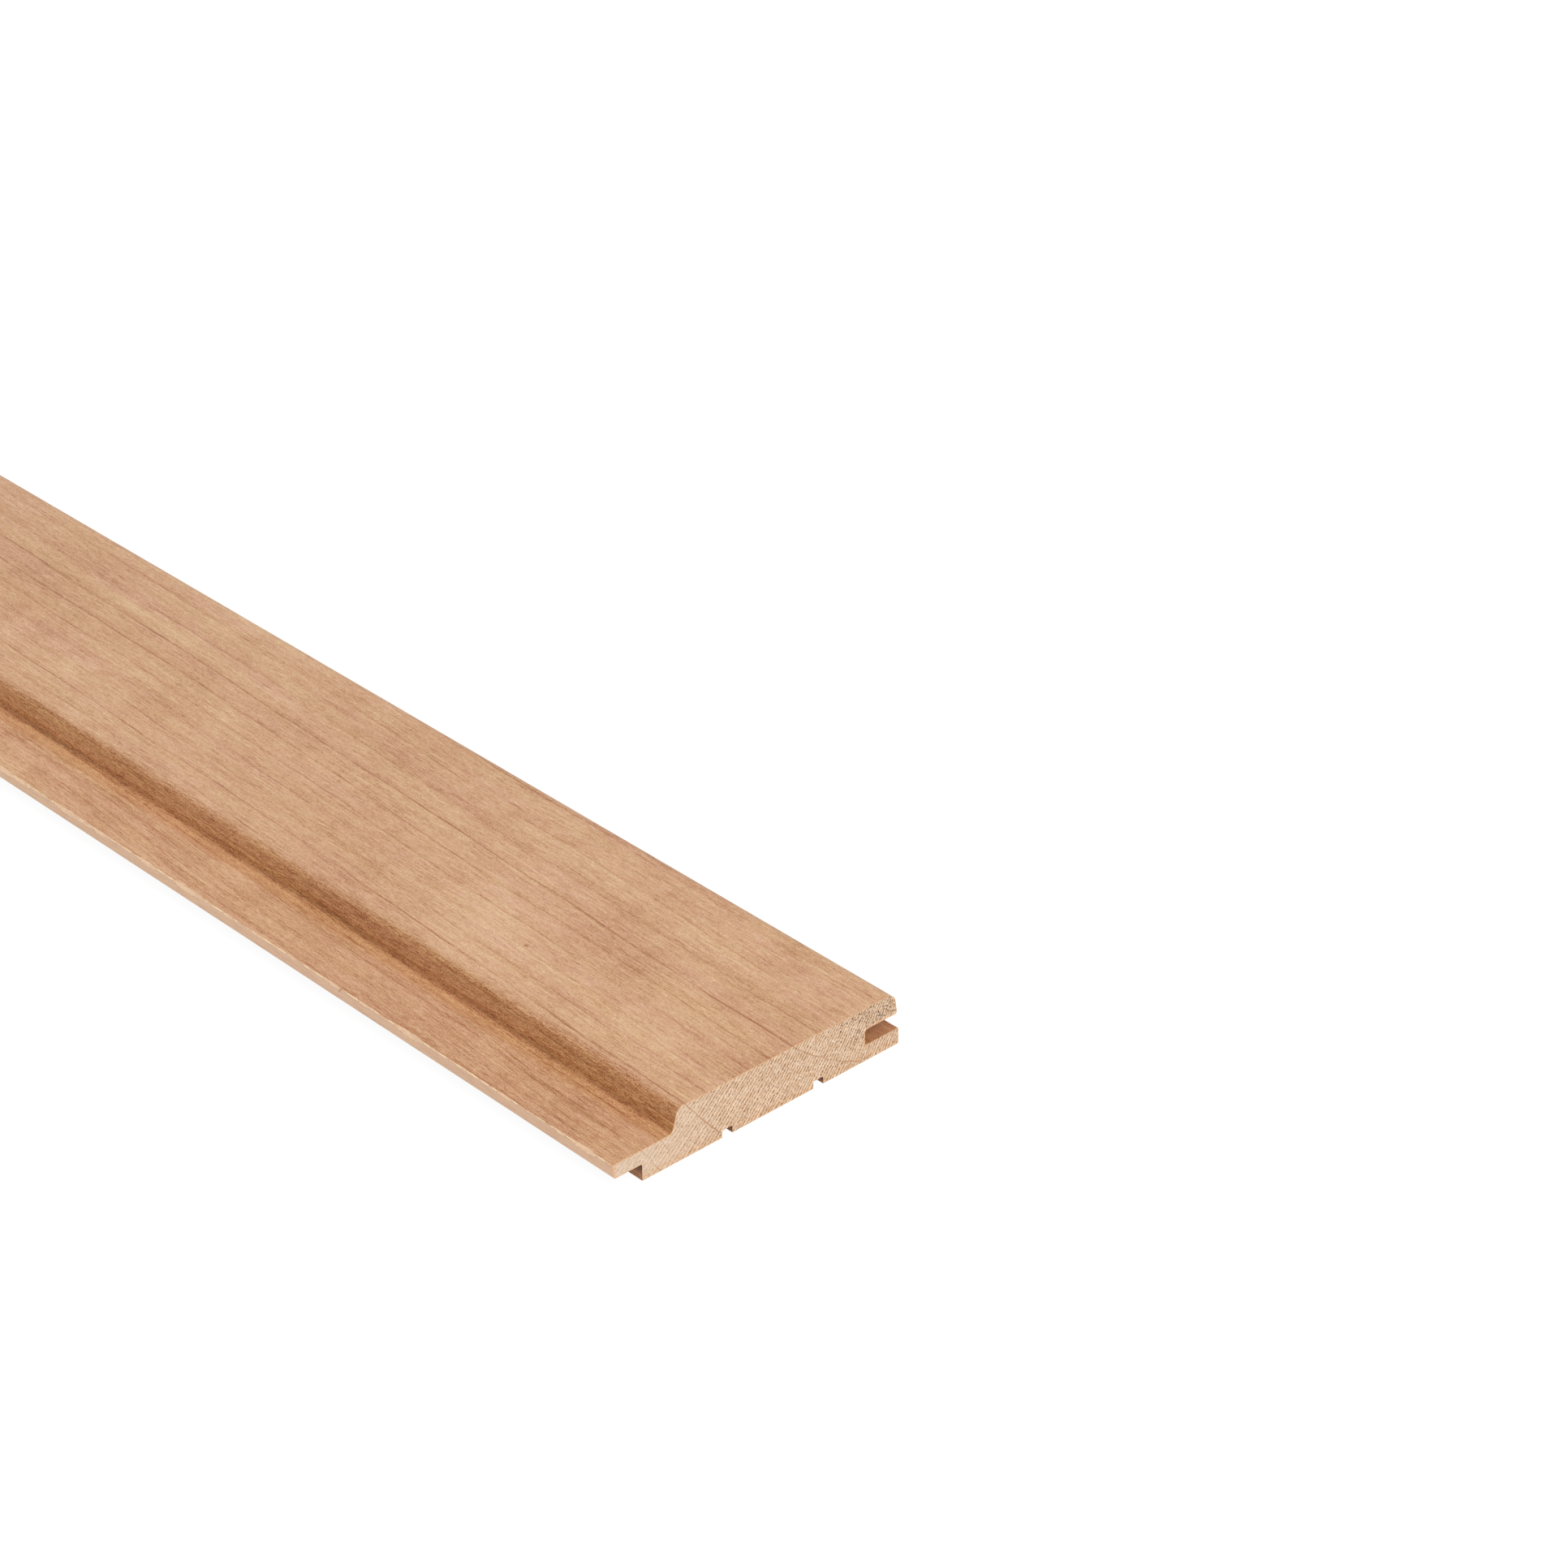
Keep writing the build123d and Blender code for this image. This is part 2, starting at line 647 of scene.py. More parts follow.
@dataclass
class TongueArris:
    """The tongue's upper arris, which is cut fine and chipped where fibres broke away."""

    section: Section
    reach_across: float = 0.75 * MM
    reach_down: float = 2.1 * MM
    lines_across: int = 3
    lines_down: int = 7
    row_pitch: float = 12.0 * MM
    cuts_per_row: int = 14
    chip_slope: float = math.radians(18.0)
    chip_spacing: float = 9.0 * MM
    shortest_chip: float = 2.0 * MM
    longest_chip: float = 11.0 * MM
    shallowest_chip: float = 0.16 * MM
    deepest_chip: float = 0.58 * MM
    fray: float = 0.08 * MM
    torn_name: str = "torn"
    seed: int = 11
    chips: list[Triple] = field(default_factory=list)

    def build(self, piece: bpy.types.Object) -> None:
        """Cuts the arris fine and takes the chips out of it.

        Args:
            piece: the moulded board.
        """
        bench = Bench(piece)
        self.refine(bench)
        bench.done()
        self.chip(piece)

    def near_arris(self, place: Vector) -> bool:
        """Whether a point lies in the strip beside the arris, on the low face or the tongue's tip.

        Args:
            place: the point.

        Returns:
            Whether it does.
        """
        s = self.section
        across, under, slack = place.x + s.width / 2, s.low_face - place.z, 0.01 * MM
        beside = across < self.reach_across + slack and under < self.reach_down + slack
        return beside and abs(place.y) < s.length / 2 - slack

    def refine(self, bench: Bench) -> None:
        """Cuts lines beside the arris and short rows across them.

        Args:
            bench: the bench with the board.
        """
        s = self.section

        def beside(face: bmesh.types.BMFace) -> bool:
            """Whether a face of the low face or of the tongue's tip meets the arris.

            Args:
                face: the face.

            Returns:
                Whether it does.
            """
            if looks_along(face):
                return False
            high = face.normal.z > 0.9 and abs(face.calc_center_median().z - s.low_face) < 0.1 * MM
            tip = face.normal.x < -0.9 and face.calc_center_median().x < -s.width / 2 + self.reach_down
            return high or tip

        bench.pick(Part.FACE, beside)
        bpy.ops.mesh.hide(unselected=True)
        for line in range(1, self.lines_across + 1):
            bench.cut_across(s.place(self.reach_across * line / self.lines_across, 0.0), (1, 0, 0))
        for line in range(1, self.lines_down + 1):
            bench.cut_across(s.place(0.0, s.low_face - self.reach_down * line / self.lines_down), (0, 0, 1))
        bench.pick(
            Part.EDGE,
            lambda edge: not edge.hide
            and all(self.near_arris((v.co * 0.98 + edge.other_vert(v).co * 0.02)) for v in edge.verts)
            and abs(edge.verts[0].co.y - edge.verts[1].co.y) > self.row_pitch / 2,
        )
        bpy.ops.mesh.subdivide(number_cuts=self.cuts_per_row)
        bpy.ops.mesh.reveal(select=False)

    def lay_chips(self) -> None:
        """Chooses each chip's place along the board, its half length and its depth."""
        dice = random.Random(self.seed)
        half = self.section.length / 2
        along = -half
        while along < half:
            size = dice.random() ** 1.5
            length = self.shortest_chip + (self.longest_chip - self.shortest_chip) * size
            depth = self.shallowest_chip + (self.deepest_chip - self.shallowest_chip) * size
            self.chips.append((along, length / 2, depth))
            along += self.chip_spacing * dice.uniform(0.2, 1.8)

    def chip_depth(self, along: float, nearby: list[Triple]) -> float:
        """How deep the arris is cut back at a place.

        Args:
            along: place along the board.
            nearby: the chips that may reach it.

        Returns:
            The depth, measured square to the chip's floor.
        """
        slow = noise.noise(Vector((along / MM / 6.0, 0.0, 0.0)))
        quick = noise.noise(Vector((along / MM / 1.7, 3.0, 0.0)))
        worn = self.fray * (0.7 + 1.1 * slow + 0.6 * quick)
        for middle, half, depth in nearby:
            share = abs(along - middle) / half
            if share < 1:
                worn = max(worn, depth * (1 - share**4))
        return max(0.0, worn)

    def chip(self, piece: bpy.types.Object) -> None:
        """Moves the arris's points back to the chips' floors and marks them as torn.

        Args:
            piece: the board, with its arris cut fine.
        """
        s = self.section
        self.lay_chips()
        torn = piece.data.attributes.new(self.torn_name, "FLOAT", "POINT").data
        inward = Vector((math.cos(self.chip_slope), 0.0, -math.sin(self.chip_slope)))
        arris = s.place(0.0, s.low_face)
        for point in piece.data.vertices:
            if not self.near_arris(point.co):
                continue
            across = point.co.x - arris.x
            beside = [c for c in self.chips if abs(c[0] - point.co.y) < self.longest_chip]
            depth = self.chip_depth(point.co.y, beside)
            under = Vector((across, 0.0, point.co.z - arris.z)).dot(inward)
            if under < depth:
                point.co += inward * (depth - under)
                torn[point.index].value = min(1.0, depth / (0.3 * self.deepest_chip))


@dataclass
class LooseFibres:
    """Fibres that the saw and the cutters lifted: short tapered slivers on the arrises and the low face."""

    section: Section
    thickness: float = 0.07 * MM
    sides: int = 4
    bends: int = 2
    foot_radius: float = 0.5
    tip_radius: float = 0.12
    bow: float = 1.2
    rim_share: float = 0.3
    scattered: int = 320
    batch: int = 40
    curl_place: Point = (6.5 * MM, -800.7 * MM)
    seed: int = 5

    def sliver(self) -> bpy.types.Object:
        """One fibre of unit length and thickness, which stands on the origin, tapers and bends.

        Returns:
            The fibre.
        """
        bpy.ops.object.select_all(action="DESELECT")
        bpy.ops.mesh.primitive_cone_add(
            vertices=self.sides,
            radius1=self.foot_radius,
            radius2=self.tip_radius,
            depth=1.0,
            calc_uvs=False,
            location=(0.0, 0.0, 0.5),
        )
        piece = bpy.context.object
        piece.name = piece.data.name = "fibre"
        bpy.ops.object.transform_apply(location=True, rotation=True, scale=True)
        bench = Bench(piece)
        for bend in range(1, self.bends + 1):
            bench.cut_across(Vector((0.0, 0.0, bend / (self.bends + 1))), (0, 0, 1))
        mesh = bench.mesh
        for point in mesh.verts:
            point.co.x += self.bow * point.co.z**2
        bmesh.update_edit_mesh(piece.data)
        bench.done()
        BakeMap().lay_fibre(piece)
        return piece

    def along_rims(self, piece: bpy.types.Object, dice: random.Random) -> list[Matrix]:
        """Places fibres along the rims of both sawn ends, from just below the low face upwards.

        Args:
            piece: the board.
            dice: the source of chance.

        Returns:
            One placing matrix for each fibre.
        """
        s, mesh = self.section, piece.data
        placed = []
        for number in sorted(points_of(mesh, Finish.SAWN) & points_of(mesh, Finish.PLANED)):
            point = mesh.vertices[number].co
            if point.z > s.low_face - MM and dice.random() < self.rim_share:
                side = math.copysign(1.0, point.y)
                lean = Vector((dice.uniform(-1, 1), 0.2 * side * dice.random(), dice.uniform(-0.8, 0.4)))
                start = point + Vector((dice.uniform(-0.2, 0.2) * MM, -side * 0.03 * MM, -0.05 * MM))
                placed.append(self.placing(start, lean, dice.uniform(0.12, 0.32) * MM, dice))
        return placed

    def along_edges(self, dice: random.Random) -> list[Matrix]:
        """Places fibres along the tongue's arris, the upper lip, the lower lip and the cove.

        Args:
            dice: the source of chance.

        Returns:
            One placing matrix for each fibre.
        """
        s = self.section
        edges = [
            (0.2 * MM, s.low_face - 0.15 * MM, 7.0 * MM),
            (s.nose_foot - 0.1 * MM, s.groove_roof + 0.7 * MM, 40.0 * MM),
            (s.width - 0.3 * MM, s.lower_lip_thickness - 0.02 * MM, 25.0 * MM),
            (s.step_foot - 1.4 * MM, s.low_face - 0.02 * MM, 5.0 * MM),
        ]
        placed = []
        for across, up, spacing in edges:
            along = -s.length / 2 + spacing
            while along < s.length / 2 - spacing:
                start = s.place(across + dice.uniform(-0.1, 0.1) * MM, up, along)
                lean = Vector((dice.uniform(-0.12, 0.12), dice.choice((-1, 1)), dice.uniform(-0.02, 0.12)))
                placed.append(self.placing(start, lean, dice.uniform(0.3, 1.3) * MM, dice))
                along += spacing * dice.uniform(0.3, 1.7)
        return placed

    def on_low_face(self, dice: random.Random) -> list[Matrix]:
        """Scatters lifted fibres on the low face and beside the step, with one curl of two longer ones.

        Args:
            dice: the source of chance.

        Returns:
            One placing matrix for each fibre.
        """
        s = self.section
        placed = []
        for _ in range(self.scattered):
            across = s.step_foot * dice.random() ** 0.7
            start = s.place(across - MM, s.low_face - 0.03 * MM, dice.uniform(-0.49, 0.49) * s.length)
            lean = Vector((dice.uniform(-0.5, 0.5), dice.choice((-1, 1)), dice.uniform(0.05, 0.25)))
            placed.append(self.placing(start, lean, dice.uniform(0.2, 0.8) * MM, dice))
        curl = s.place(self.curl_place[0], s.low_face - 0.03 * MM, self.curl_place[1])
        for lean, length in ((Vector((1.0, 0.35, 0.12)), 1.5 * MM), (Vector((1.0, 0.15, 0.2)), 1.0 * MM)):
            placed.append(self.placing(curl, lean, length, dice) @ Matrix.Diagonal((1.8, 1.8, 1.0, 1.0)))
        return placed

    def placing(self, start: Vector, lean: Vector, length: float, dice: random.Random) -> Matrix:
        """The matrix that lays the unit fibre at a place.

        Args:
            start: where the fibre is rooted.
            lean: the direction that it runs in.
            length: its length.
            dice: the source of chance for its turn and thickness.

        Returns:
            The matrix.
        """
        thickness = self.thickness * dice.uniform(0.6, 1.3)
        turn = lean.to_track_quat("Z", "X").to_matrix().to_4x4()
        spin = Matrix.Rotation(dice.uniform(0, 2 * math.pi), 4, "Z")
        size = Matrix.Diagonal((thickness, thickness, length, 1.0))
        return Matrix.Translation(start) @ turn @ spin @ size

    def build(self, piece: bpy.types.Object) -> int:
        """Joins the fibres to the board.

        Args:
            piece: the board.

        Returns:
            How many fibres there are.
        """
        dice = random.Random(self.seed)
        placed = self.along_rims(piece, dice) + self.along_edges(dice) + self.on_low_face(dice)
        sliver = self.sliver()
        batches = [placed[first : first + self.batch] for first in range(0, len(placed), self.batch)]
        bundles = [self.bundle(sliver, batch, piece) for batch in batches]
        bpy.data.objects.remove(sliver)
        self.join(bundles, piece)
        return len(placed)

    def bundle(
        self, sliver: bpy.types.Object, placed: list[Matrix], piece: bpy.types.Object
    ) -> bpy.types.Object:
        """Copies the unit fibre to its places, keeps the copies in the board's box and joins them.

        Args:
            sliver: the unit fibre.
            placed: one placing matrix for each copy.
            piece: the board, whose material slots the copies share.

        Returns:
            The joined copies.
        """
        lo, hi = cad_box
        copies = []
        for matrix in placed:
            copy = bpy.data.objects.new("fibre", sliver.data.copy())
            copy.data.transform(matrix)
            for point in copy.data.vertices:
                point.co = Vector(min(max(c, a), b) for c, a, b in zip(point.co, lo, hi))
            for slot in piece.material_slots:
                copy.data.materials.append(slot.material)
            for face in copy.data.polygons:
                face.material_index = Finish.FIBRE.value
            bpy.context.scene.collection.objects.link(copy)
            copies.append(copy)
        self.join(copies[1:], copies[0])
        return copies[0]

    def join(self, parts: list[bpy.types.Object], whole: bpy.types.Object) -> None:
        """Joins parts to a whole.

        Args:
            parts: the parts.
            whole: what they are joined to.
        """
        select([*parts, whole], whole)
        bpy.ops.object.join()


class NodeSheet:
    """A material's node tree, with short ways to add the nodes that the finishes use."""

    def __init__(self, name: str) -> None:
        """Makes a material with a Principled shader.

        Args:
            name: the material's name.
        """
        self.material = bpy.data.materials.new(name)
        self.material.use_nodes = True
        self.tree = self.material.node_tree
        self.shader = self.tree.nodes["Principled BSDF"]

    def add(self, kind: str, *inputs: object, **settings: object) -> bpy.types.Node:
        """Adds a node.

        Args:
            kind: the node's type, without the leading ShaderNode.
            inputs: a value or an output for each of its first inputs, or None to leave one alone.
            settings: the node's own properties.

        Returns:
            The node.
        """
        node = self.tree.nodes.new("ShaderNode" + kind)
        for name, value in settings.items():
            setattr(node, name, value)
        for socket, value in zip(node.inputs, inputs):
            self.feed(socket, value)
        return node

    def feed(self, socket: Socket, value: object) -> None:
        """Links an output to a socket, or sets the socket's own value.

        Args:
            socket: the input.
            value: an output, a number, a tuple or None.
        """
        if isinstance(value, Socket):
            self.tree.links.new(value, socket)
        elif value is not None:
            socket.default_value = value

    def math(self, operation: str, *values: object) -> Socket:
        """The output of a Math node on one to three values."""
        return self.add("Math", *values, operation=operation).outputs[0]

    def times(self, first: object, second: object) -> Socket:
        """The product of two values."""
        return self.math("MULTIPLY", first, second)

    def scaled(self, value: object, scale: object, shift: object) -> Socket:
        """A value times a scale, plus a shift."""
        return self.math("MULTIPLY_ADD", value, scale, shift)

    def apart(self, first: object, second: object) -> Socket:
        """How far apart two values are."""
        return self.math("ABSOLUTE", self.math("SUBTRACT", first, second))

    def tint(self, colour: object, shade: object) -> Socket:
        """A colour multiplied by a shade."""
        return self.blend(1.0, colour, shade, "MULTIPLY")

    def sum(self, *values: object) -> Socket:
        """The sum of several values.

        Args:
            values: numbers or outputs.

        Returns:
            Their sum.
        """
        total = values[0]
        for value in values[1:]:
            total = self.math("ADD", total, value)
        return total

    def vector(self, x: object, y: object, z: object) -> Socket:
        """A vector made of three values."""
        return self.add("CombineXYZ", x, y, z).outputs[0]

    def remap(
        self, value: object, low: float, high: float, to_low: float = 0.0, to_high: float = 1.0
    ) -> Socket:
        """A value eased from one range to another, and held at its ends.

        Args:
            value: the value.
            low: where the range starts.
            high: where it ends.
            to_low: what its start becomes.
            to_high: what its end becomes.

        Returns:
            The eased value.
        """
        node = self.add("MapRange", value, low, high, to_low, to_high, interpolation_type="SMOOTHSTEP")
        return node.outputs[0]

    def grain(self, place: object, detail: float = 2.0, roughness: float = 0.5) -> Socket:
        """Noise about 0.5 at a scaled place.

        Args:
            place: the place, scaled so that one unit is one blotch.
            detail: how many finer layers it has.
            roughness: how strong they are.

        Returns:
            The noise.
        """
        return self.add("TexNoise", place, None, 1.0, detail, roughness).outputs[0]

    def ramp(self, value: object, stops: list[tuple[float, Colour]]) -> Socket:
        """A colour looked up on a ramp.

        Args:
            value: the place on the ramp, from 0 to 1.
            stops: each stop's place and colour.

        Returns:
            The colour.
        """
        node = self.add("ValToRGB", value)
        elements = node.color_ramp.elements
        while len(elements) < len(stops):
            elements.new(0.5)
        for element, (place, colour) in zip(elements, stops):
            element.position = place
            element.color = (*colour, 1.0)
        return node.outputs[0]

    def blend(self, share: object, first: object, second: object, how: str = "MIX") -> Socket:
        """Two colours mixed.

        Args:
            share: how much of the second.
            first: a colour or an output.
            second: a colour or an output.
            how: the blend type.

        Returns:
            The mixed colour.
        """
        node = self.add("Mix", data_type="RGBA", blend_type=how)
        first = (*first, 1.0) if isinstance(first, tuple) else first
        second = (*second, 1.0) if isinstance(second, tuple) else second
        for socket, value in ((node.inputs[0], share), (node.inputs[6], first), (node.inputs[7], second)):
            self.feed(socket, value)
        return node.outputs[2]


class Grain:
    """The wood's inner pattern at each point of the board, in millimetres, shared by all its finishes."""

    def __init__(self, sheet: NodeSheet, rings: GrowthRings) -> None:
        """Lays the grain out on a material's sheet.

        Args:
            sheet: the sheet.
            rings: the tree that the board was sawn from.
        """
        self.sheet, self.rings = sheet, rings
        place = sheet.add("TexCoord").outputs["Object"]
        scaled = sheet.add("Mapping", place, None, None, (1 / MM, 1 / MM, 1 / MM)).outputs[0]
        axes = sheet.add("SeparateXYZ", scaled).outputs
        self.x, self.y, self.z = axes[0], axes[1], axes[2]
        self.follow_runout()
        self.measure_rings()

    def follow_runout(self) -> None:
        """Shifts the grain sideways as it runs along the board, and lets it wander a little."""
        sheet, rings = self.sheet, self.rings
        pace = 1 / rings.runout_length
        angle = sheet.scaled(self.y, pace, -rings.near_end / rings.runout_length)
        runout = sheet.times(sheet.math("SINE", angle), -rings.runout_reach)
        wander = sheet.grain(self.stretched(60.0, 75.0, 60.0), 2.0)
        wander = sheet.scaled(wander, 4.5, -2.25)
        self.across = sheet.sum(self.x, runout, wander)

    def stretched(self, x: float, y: float, z: float) -> Socket:
        """The place scaled so that one unit is so many millimetres each way.

        Args:
            x: millimetres to a unit across the board.
            y: millimetres to a unit along it.
            z: millimetres to a unit up from the back.

        Returns:
            The scaled place.
        """
        sheet = self.sheet
        return sheet.vector(
            sheet.math("DIVIDE", self.x, x), sheet.math("DIVIDE", self.y, y), sheet.math("DIVIDE", self.z, z)
        )

    def with_rings(self, radius: float, along: float, arc: float) -> Socket:
        """The place across the rings, along the board and round the rings, scaled in the same way.

        Args:
            radius: millimetres to a unit across the rings.
            along: millimetres to a unit along the board.
            arc: millimetres to a unit round the rings.

        Returns:
            The scaled place.
        """
        sheet = self.sheet
        return sheet.vector(
            sheet.math("DIVIDE", self.radius, radius),
            sheet.math("DIVIDE", self.y, along),
            sheet.math("DIVIDE", self.arc, arc),
        )

    def measure_rings(self) -> None:
        """Works out the distance from the pith, the arc round it, and the place within the ring."""
        sheet, rings = self.sheet, self.rings
        uneven = sheet.grain(self.stretched(7.0, 90.0, 7.0), 2.0)
        middle_radius = rings.first_ring + 2 * rings.ring_width
        radius, self.arc = self.polar(self.across, (rings.pith_across, rings.pith_up), middle_radius)
        self.radius = sheet.math("ADD", radius, sheet.scaled(uneven, 1.6, -0.8))
        self.ray_radius, self.ray_arc = self.polar(self.x, rings.ray_point, rings.ray_reach)
        offset = rings.first_year - rings.first_ring / rings.ring_width
        count = sheet.scaled(self.radius, 1 / rings.ring_width, offset)
        self.within = sheet.math("FRACT", count)
        year = sheet.math("FLOOR", count)
        white = sheet.add("TexWhiteNoise", noise_dimensions="1D")
        sheet.feed(white.inputs["W"], year)
        self.strength = white.outputs["Value"]

    def polar(
        self, across: Socket, centre: Point, reach: float
    ) -> tuple[Socket, Socket]:
        """Distance from a centre and arc round it, at a place across the board and the point's height.

        Args:
            across: the place across the board.
            centre: the centre's place across the board and height.
            reach: the distance from the centre at which the arc is true to length.

        Returns:
            The distance and the arc.
        """
        sheet = self.sheet
        dx = sheet.math("SUBTRACT", across, centre[0])
        dz = sheet.math("SUBTRACT", self.z, centre[1])
        squares = sheet.scaled(dx, dx, sheet.times(dz, dz))
        turn = sheet.math("ARCTAN2", dx, sheet.times(dz, -1.0))
        return sheet.math("SQRT", squares), sheet.times(turn, reach)

    def inside(self, left: float, right: float, low: float, high: float) -> Socket:
        """Whether a point lies in a box that runs along the board, as 0 or 1.

        Args:
            left: where the box starts across the board, in millimetres, and so on for the others.
            right: where it ends across the board.
            low: where it starts above the back.
            high: where it ends above the back.

        Returns:
            1 inside and 0 outside.
        """
        sheet = self.sheet
        across = sheet.math("COMPARE", self.x, (left + right) / 2, (right - left) / 2)
        up = sheet.math("COMPARE", self.z, (low + high) / 2, (high - low) / 2)
        return sheet.times(across, up)

    def late_line(self) -> Socket:
        """The thin dark line that closes each ring, stronger on some rings than on others.

        Returns:
            How strong the line is at each point, from 0 to 1.
        """
        sheet = self.sheet
        rise = sheet.remap(self.within, 0.90, 0.975, 0.0, 1.0)
        fall = sheet.remap(self.within, 0.982, 1.0, 1.0, 0.0)
        broken = sheet.remap(sheet.grain(self.stretched(9.0, 45.0, 9.0), 2.0), 0.3, 0.55, 0.3, 1.0)
        weight = sheet.scaled(self.strength, 1.0, 0.08)
        return sheet.times(sheet.times(rise, fall), sheet.times(weight, broken))


@dataclass(frozen=True)
class PlanedAlder:
    """Planed alder: warm tan with fine ring lines, feathery streaks, short pores and cloudy cross figure."""

    rings: GrowthRings
    section: Section
    line: Colour = (0.38, 0.160, 0.072)
    dark: Colour = (0.525, 0.266, 0.142)
    body: Colour = (0.630, 0.363, 0.212)
    light: Colour = (0.705, 0.440, 0.272)
    pale: Colour = (0.80, 0.550, 0.365)
    rosy: Colour = (0.990, 0.950, 0.960)
    golden: Colour = (1.01, 1.03, 0.95)
    lower: Colour = (0.990, 0.95, 0.915)
    burnt: Colour = (0.725, 0.585, 0.425)
    scorched: Colour = (0.74, 0.75, 0.78)
    warmed: Colour = (0.95, 0.87, 0.74)
    golden_fleck: Colour = (0.80, 0.50, 0.24)
    # Painted shade for the groove, the rebate under the tongue and the kerfs.
    painted_recess_shade: Colour = (0.74, 0.58, 0.45)
    # Painted shade, deepest inside the kerfs and the rebate under the tongue.
    painted_deep_shade: Colour = (0.15, 0.105, 0.09)
    fresh: Colour = (0.84, 0.570, 0.385)
    torn: Colour = (0.88, 0.620, 0.405)
    # Painted highlight along the tongue's arris, partly the pale of frayed fibres.
    highlight_cream: Colour = (1.00, 0.800, 0.500)
    cove_height: float = 9.3
    scorch_height: float = 12.7
    coarser: float = 0.35
    rougher: float = 0.9
    speck_place: Triple = (-6.6, -825.0, 15.0)
    nick_place: Point = (-801.0, 7.8)
    roughness: float = 0.52
    specular: float = 0.3
    bump: float = 0.04 * MM

    def tone(self, grain: Grain) -> Socket:
        """How light the wood is at each point, from 0, a dark ring line, to 1.

        Args:
            grain: the grain.

        Returns:
            The share at each point.
        """
        sheet = grain.sheet
        streaks = sheet.grain(grain.with_rings(0.5, 34.0, 4.0), 2.0, 0.7)
        feather = sheet.grain(grain.with_rings(0.32, 9.0, 2.0), 1.0)
        fibres = sheet.grain(grain.stretched(0.24, 2.8, 0.24), 2.0, 0.8)
        fuzz = sheet.grain(grain.stretched(0.24, 0.34, 0.24), 1.0)
        bands = sheet.grain(grain.with_rings(5.0, 240.0, 30.0), 0.0)
        clouds = sheet.grain(grain.stretched(30.0, 16.0, 30.0), 2.0)
        drifts = sheet.grain(grain.stretched(28.0, 120.0, 28.0), 1.0)
        pores = sheet.remap(sheet.grain(grain.stretched(0.22, 1.9, 0.22), 1.0), 0.62, 0.74, 0.0, 1.0)
        ageing = sheet.math("POWER", grain.within, 4.0)

        def swings(*layers: tuple[Socket, float]) -> Socket:
            """The sum of several layers, each swung about 0 to its own size."""
            return sheet.sum(*[sheet.scaled(layer, size, -size / 2) for layer, size in layers])

        long = swings((streaks, 0.38), (feather, 0.50))
        short = swings((fibres, 1.40), (fuzz, 1.10))
        broad = swings((bands, 0.22), (clouds, 0.5), (drifts, 0.35))
        below = sheet.math("LESS_THAN", grain.z, self.section.thickness / MM - 0.2)
        rough = sheet.scaled(self.step_shade(grain), self.rougher, 1.0)
        rough = sheet.scaled(below, self.coarser, rough)
        return sheet.sum(
            0.56,
            sheet.times(long, sheet.scaled(below, self.coarser, 1.0)),
            sheet.times(short, rough),
            broad,
            sheet.times(self.hairlines(grain, 1.0), sheet.scaled(below, -0.20, -0.16)),
            sheet.times(self.hairlines(grain, 0.8), 0.13),
            sheet.times(pores, -0.22),
            sheet.times(ageing, -0.10),
            sheet.times(grain.late_line(), -0.42),
        )

    def hairlines(self, grain: Grain, spacing: float) -> Socket:
        """Thin lines that follow the grain and fade in and out.

        Args:
            grain: the grain.
            spacing: roughly how far apart they are, in millimetres.

        Returns:
            How strong a line is at a point, from 0 to 1.
        """
        sheet = grain.sheet
        waves = sheet.grain(grain.with_rings(spacing, 90.0 * spacing, 14.0), 1.0)
        off = sheet.apart(waves, 0.5)
        line = sheet.remap(off, 0.0, 0.038, 1.0, 0.0)
        fade = sheet.remap(sheet.grain(grain.with_rings(spacing * 1.8, 16.0, 5.0), 2.0), 0.38, 0.60, 0.0, 1.0)
        return sheet.times(line, fade)

    def step_shade(self, grain: Grain) -> Socket:
        """Where the cutter has burnished the step and its cove, from 0 to 1.

        Args:
            grain: the grain.

        Returns:
            The share at each point.
        """
        sheet, s = grain.sheet, self.section
        foot, head = (s.step_foot - s.width / 2) / MM, (s.step_head - s.width / 2) / MM
        wavy = sheet.scaled(sheet.grain(grain.stretched(1.5, 26.0, 1.5), 2.0), 1.2, -0.6)
        rise = sheet.remap(sheet.scaled(wavy, 0.5, grain.x), foot - 1.3, foot + 0.1, 0.0, 1.0)
        fall = sheet.remap(sheet.math("ADD", grain.x, wavy), head - 0.6, head + 2.6, 1.0, 0.0)
        above = sheet.math("GREATER_THAN", grain.z, s.low_face / MM - 1.0)
        return sheet.times(sheet.times(rise, fall), above)

    def scorch(self, grain: Grain) -> Socket:
        """Where the burnish is darkest: a line in the cove and a fainter one up the step, from 0 to 1.

        Args:
            grain: the grain.

        Returns:
            The share at each point.
        """
        sheet, s = grain.sheet, self.section
        foot = (s.step_foot - s.width / 2) / MM
        wavy = sheet.scaled(sheet.grain(grain.stretched(1.5, 40.0, 1.5), 2.0), 1.0, -0.5)
        height = sheet.math("ADD", grain.z, wavy)
        cove = sheet.remap(sheet.apart(height, self.cove_height), 0.1, 1.0, 1.0, 0.0)
        line = sheet.remap(sheet.apart(height, self.scorch_height), 0.0, 0.7, 0.4, 0.0)
        uneven = sheet.remap(sheet.grain(grain.stretched(2.0, 45.0, 2.0), 2.0), 0.3, 0.7, 0.4, 1.0)
        beside = sheet.remap(grain.x, foot - 0.9, foot - 0.1, 0.0, 1.0)
        there = sheet.times(beside, sheet.math("LESS_THAN", grain.x, foot + 3.0))
        both = sheet.times(sheet.math("MAXIMUM", cove, line), there)
        return sheet.times(both, uneven)

